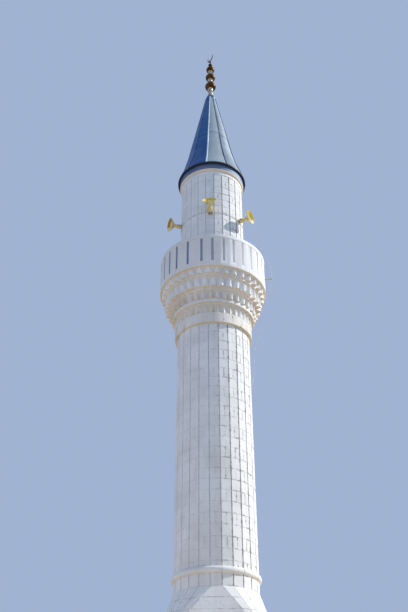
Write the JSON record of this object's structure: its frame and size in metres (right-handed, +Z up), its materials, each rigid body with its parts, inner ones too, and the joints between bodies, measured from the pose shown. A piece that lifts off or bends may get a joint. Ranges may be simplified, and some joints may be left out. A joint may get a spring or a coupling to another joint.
{
  "type": "minaret",
  "caption": "Round white stone minaret with a square base, fluted shaft, corbelled balcony, lead spire, metal finial and horn loudspeakers.",
  "frame": {"origin": "centre of the foot of the base, at ground level", "axes": "+Z up; -Y is the front face, which the picture shows; +X to the right seen from the front"},
  "size_m": [3.5135, 3.3044, 27.4291],
  "materials": {
    "limewashed_stone": "limewashed cut stone, matte",
    "plaster": "plain lime plaster, matte",
    "lead_sheet": "weathered lead sheet, satin",
    "dark_metal": "black sheet-metal edge, satin",
    "finial_brass": "tarnished gilt brass",
    "cream_paint": "cream enamel, semi-gloss",
    "cable_sheath": "grey cable sheath, matte",
    "bare_wood": "bare weathered wood"
  },
  "bodies": {
    "root": {"floor_slab": "plaster", "base_front_wall": "limewashed_stone", "base_right_wall": "limewashed_stone", "base_left_wall": "limewashed_stone", "base_back_right_wall": "limewashed_stone", "base_back_left_wall": "limewashed_stone", "base_over_door": "limewashed_stone", "base_cornice": "limewashed_stone", "shoe_front": "limewashed_stone", "shoe_right": "limewashed_stone", "shoe_back": "limewashed_stone", "shoe_left": "limewashed_stone", "shaft_front": "limewashed_stone", "shaft_right": "limewashed_stone", "shaft_back": "limewashed_stone", "shaft_left": "limewashed_stone", "lower_ring": "limewashed_stone", "collar_ring": "limewashed_stone", "corbel_tier_1": "limewashed_stone", "corbel_tier_2": "limewashed_stone", "corbel_tier_3": "limewashed_stone", "corbel_tier_4": "limewashed_stone", "corbel_tier_5": "limewashed_stone", "balcony_floor": "plaster", "parapet_front": "limewashed_stone", "parapet_right": "limewashed_stone", "parapet_back": "limewashed_stone", "parapet_left": "limewashed_stone", "upper_wall_front": "limewashed_stone", "upper_wall_right": "limewashed_stone", "upper_wall_left": "limewashed_stone", "upper_wall_back_left": "limewashed_stone", "upper_wall_back_right": "limewashed_stone", "upper_wall_over_door": "limewashed_stone", "upper_cornice": "limewashed_stone", "spire_roof": "lead_sheet", "eave_edge": "dark_metal", "finial": "finial_brass", "crescent": "finial_brass", "loudspeaker_front": "cream_paint", "loudspeaker_right": "cream_paint", "loudspeaker_back": "cream_paint", "loudspeaker_left": "cream_paint", "speaker_cable": "cable_sheath", "down_lead": "cable_sheath", "lead_stand_off": "bare_wood", "lead_clip_lower": "cable_sheath", "lead_clip_upper": "cable_sheath"}
  },
  "joints": []
}
